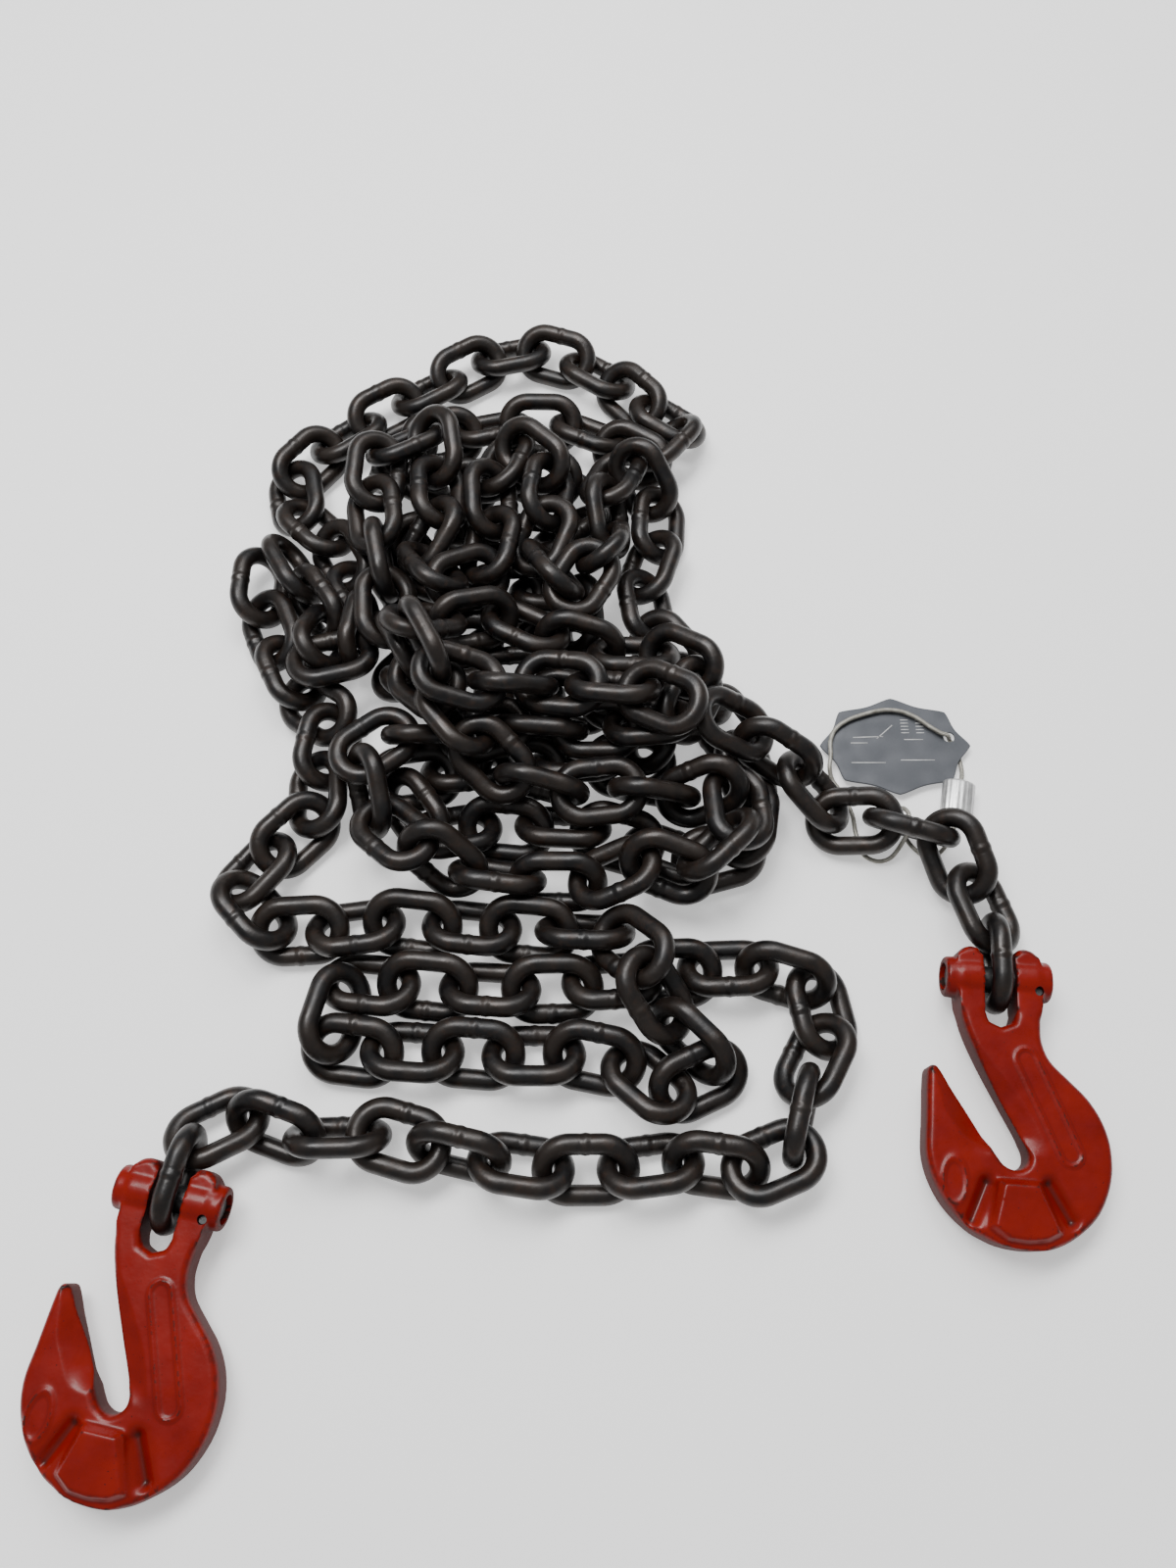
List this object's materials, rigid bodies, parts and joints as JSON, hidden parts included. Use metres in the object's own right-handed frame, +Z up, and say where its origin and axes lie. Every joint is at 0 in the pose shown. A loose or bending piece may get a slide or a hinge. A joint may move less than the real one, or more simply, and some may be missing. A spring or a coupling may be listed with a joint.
{
  "type": "load binder chain",
  "caption": "Heap of oiled short-link chain for tying down loads, with a red clevis grab hook at each end and a metal tag tied on with wire.",
  "frame": {"origin": "middle of the floor area the chain covers, at floor level", "axes": "+Z up; +Y away from the two hooks, towards the back of the heap; +X to the right"},
  "size_m": [0.474, 0.6296, 0.0824],
  "materials": {
    "oiled_chain": "oiled, semi-gloss",
    "red_paint": "gloss",
    "pin_steel": "oiled",
    "zinc_tag": "satin",
    "plated_steel": "satin",
    "ferrule_aluminium": "satin"
  },
  "bodies": {
    "root": {"link_right_03": "oiled_chain", "link_right_04": "oiled_chain", "link_right_05": "oiled_chain", "link_right_06": "oiled_chain", "link_right_07": "oiled_chain", "pile_01": "oiled_chain", "pile_02": "oiled_chain", "pile_03": "oiled_chain", "pile_04": "oiled_chain", "pile_05": "oiled_chain", "pile_06": "oiled_chain", "pile_07": "oiled_chain", "pile_08": "oiled_chain", "pile_09": "oiled_chain", "pile_10": "oiled_chain", "pile_11": "oiled_chain", "pile_12": "oiled_chain", "pile_13": "oiled_chain", "pile_14": "oiled_chain", "pile_15": "oiled_chain", "pile_16": "oiled_chain", "pile_17": "oiled_chain", "pile_18": "oiled_chain", "pile_19": "oiled_chain", "pile_20": "oiled_chain", "pile_21": "oiled_chain", "pile_22": "oiled_chain", "pile_23": "oiled_chain", "tag_wire": "plated_steel", "wire_ferrule": "ferrule_aluminium"},
    "link_left_15": {"link_left_15": "oiled_chain"},
    "link_left_14": {"link_left_14": "oiled_chain"},
    "link_left_13": {"link_left_13": "oiled_chain"},
    "link_left_12": {"link_left_12": "oiled_chain"},
    "link_left_11": {"link_left_11": "oiled_chain"},
    "link_left_10": {"link_left_10": "oiled_chain"},
    "link_left_09": {"link_left_09": "oiled_chain"},
    "link_left_08": {"link_left_08": "oiled_chain"},
    "link_left_07": {"link_left_07": "oiled_chain"},
    "link_left_06": {"link_left_06": "oiled_chain"},
    "link_left_05": {"link_left_05": "oiled_chain"},
    "link_left_04": {"link_left_04": "oiled_chain"},
    "link_left_03": {"link_left_03": "oiled_chain"},
    "link_left_02": {"link_left_02": "oiled_chain"},
    "link_left_01": {"link_left_01": "oiled_chain"},
    "clevis_link_left": {"clevis_link_left": "oiled_chain"},
    "hook_left": {"hook_left": "red_paint", "load_pin_left": "pin_steel", "retaining_pin_left": "pin_steel"},
    "link_right_02": {"link_right_02": "oiled_chain"},
    "link_right_01": {"link_right_01": "oiled_chain"},
    "clevis_link_right": {"clevis_link_right": "oiled_chain"},
    "hook_right": {"hook_right": "red_paint", "load_pin_right": "pin_steel", "retaining_pin_right": "pin_steel"},
    "tag_plate": {"tag_plate": "zinc_tag"}
  },
  "joints": [
    {"name": "link_left_15_swing", "type": "hinge", "parent": "root", "child": "link_left_15", "pos_m": [0.06127, -0.08826, 0.01129], "axis": [0.0225, -0.8599, -0.51], "range_deg": [-8, 0]},
    {"name": "link_left_14_swing", "type": "hinge", "parent": "link_left_15", "child": "link_left_14", "pos_m": [0.08849, -0.08605, 0.01357], "axis": [-0.0217, -0.8655, 0.5004], "range_deg": [-6, 0]},
    {"name": "link_left_13_swing", "type": "hinge", "parent": "link_left_14", "child": "link_left_13", "pos_m": [0.11463, -0.09703, 0.0154], "axis": [-0.1673, -0.5404, -0.8246], "range_deg": [-20, 0]},
    {"name": "link_left_12_swing", "type": "hinge", "parent": "link_left_13", "child": "link_left_12", "pos_m": [0.11624, -0.12614, 0.01039], "axis": [-0.8855, -0.1686, 0.4329], "range_deg": [0, 10]},
    {"name": "link_left_11_swing", "type": "hinge", "parent": "link_left_12", "child": "link_left_11", "pos_m": [0.09783, -0.1485, 0.01375], "axis": [-0.7304, 0.3772, -0.5694], "range_deg": [-10, 4]},
    {"name": "link_left_10_swing", "type": "hinge", "parent": "link_left_11", "child": "link_left_10", "pos_m": [0.0934, -0.17644, 0.01727], "axis": [-0.1832, 0.0506, 0.9818], "range_deg": [0, 25]},
    {"name": "link_left_09_swing", "type": "hinge", "parent": "link_left_10", "child": "link_left_09", "pos_m": [0.06632, -0.18507, 0.01491], "axis": [-0.3481, 0.9101, -0.2249], "range_deg": [-8, 4]},
    {"name": "link_left_08_swing", "type": "hinge", "parent": "link_left_09", "child": "link_left_08", "pos_m": [0.03898, -0.1762, 0.01432], "axis": [0.0897, 0.6613, 0.7448], "range_deg": [0, 25]},
    {"name": "link_left_07_swing", "type": "hinge", "parent": "link_left_08", "child": "link_left_07", "pos_m": [0.00951, -0.1812, 0.0125], "axis": [-0.1005, 0.7933, -0.6005], "range_deg": [-10, 20]},
    {"name": "link_left_06_swing", "type": "hinge", "parent": "link_left_07", "child": "link_left_06", "pos_m": [-0.02017, -0.18066, 0.01198], "axis": [-0.0054, 0.8294, 0.5586], "range_deg": [-12, 20]},
    {"name": "link_left_05_swing", "type": "hinge", "parent": "link_left_06", "child": "link_left_05", "pos_m": [-0.04933, -0.17593, 0.01471], "axis": [0.071, 0.8031, -0.5917], "range_deg": [-15, 25]},
    {"name": "link_left_04_swing", "type": "hinge", "parent": "link_left_05", "child": "link_left_04", "pos_m": [-0.07727, -0.16883, 0.01633], "axis": [0.0961, 0.412, 0.9061], "range_deg": [-12, 8]},
    {"name": "link_left_03_swing", "type": "hinge", "parent": "link_left_04", "child": "link_left_03", "pos_m": [-0.10473, -0.16229, 0.01564], "axis": [0.2771, 0.9605, 0.0235], "range_deg": [-20, 4]},
    {"name": "link_left_02_swing", "type": "hinge", "parent": "link_left_03", "child": "link_left_02", "pos_m": [-0.13337, -0.1671, 0.01595], "axis": [-0.0137, 0.4982, -0.867], "range_deg": [-15, 35]},
    {"name": "link_left_01_swing", "type": "hinge", "parent": "link_left_02", "child": "link_left_01", "pos_m": [-0.16095, -0.15555, 0.01483], "axis": [0.2335, 0.6184, 0.7504], "range_deg": [-25, 10]},
    {"name": "clevis_link_left_swing", "type": "hinge", "parent": "link_left_01", "child": "clevis_link_left", "pos_m": [-0.18705, -0.17122, 0.01565], "axis": [-0.4816, 0.7964, -0.3658], "range_deg": [-15, 15]},
    {"name": "hook_left_pivot", "type": "hinge", "parent": "clevis_link_left", "child": "hook_left", "pos_m": [-0.18416, -0.19329, 0.018], "axis": [0.9781, -0.2079, 0], "range_deg": [-60, 0]},
    {"name": "link_right_02_swing", "type": "hinge", "parent": "root", "child": "link_right_02", "pos_m": [0.18196, -0.02181, 0.01977], "axis": [-0.1104, -0.3617, 0.9257], "range_deg": [0, 30]},
    {"name": "link_right_01_swing", "type": "hinge", "parent": "link_right_02", "child": "link_right_01", "pos_m": [0.19041, -0.0497, 0.01457], "axis": [0.8085, 0.1256, 0.5749], "range_deg": [-20, 8]},
    {"name": "clevis_link_right_swing", "type": "hinge", "parent": "link_right_01", "child": "clevis_link_right", "pos_m": [0.20086, -0.07632, 0.01581], "axis": [0.8445, 0.2764, -0.4588], "range_deg": [-8, 25]},
    {"name": "hook_right_pivot", "type": "hinge", "parent": "clevis_link_right", "child": "hook_right", "pos_m": [0.19534, -0.09379, 0.018], "axis": [0.9976, -0.0698, 0], "range_deg": [-60, 0]},
    {"name": "tag_turn", "type": "hinge", "parent": "root", "child": "tag_plate", "pos_m": [0.19234, 0.04181, 0.0042], "axis": [0, 0, 1], "range_deg": [-40, 0]}
  ]
}
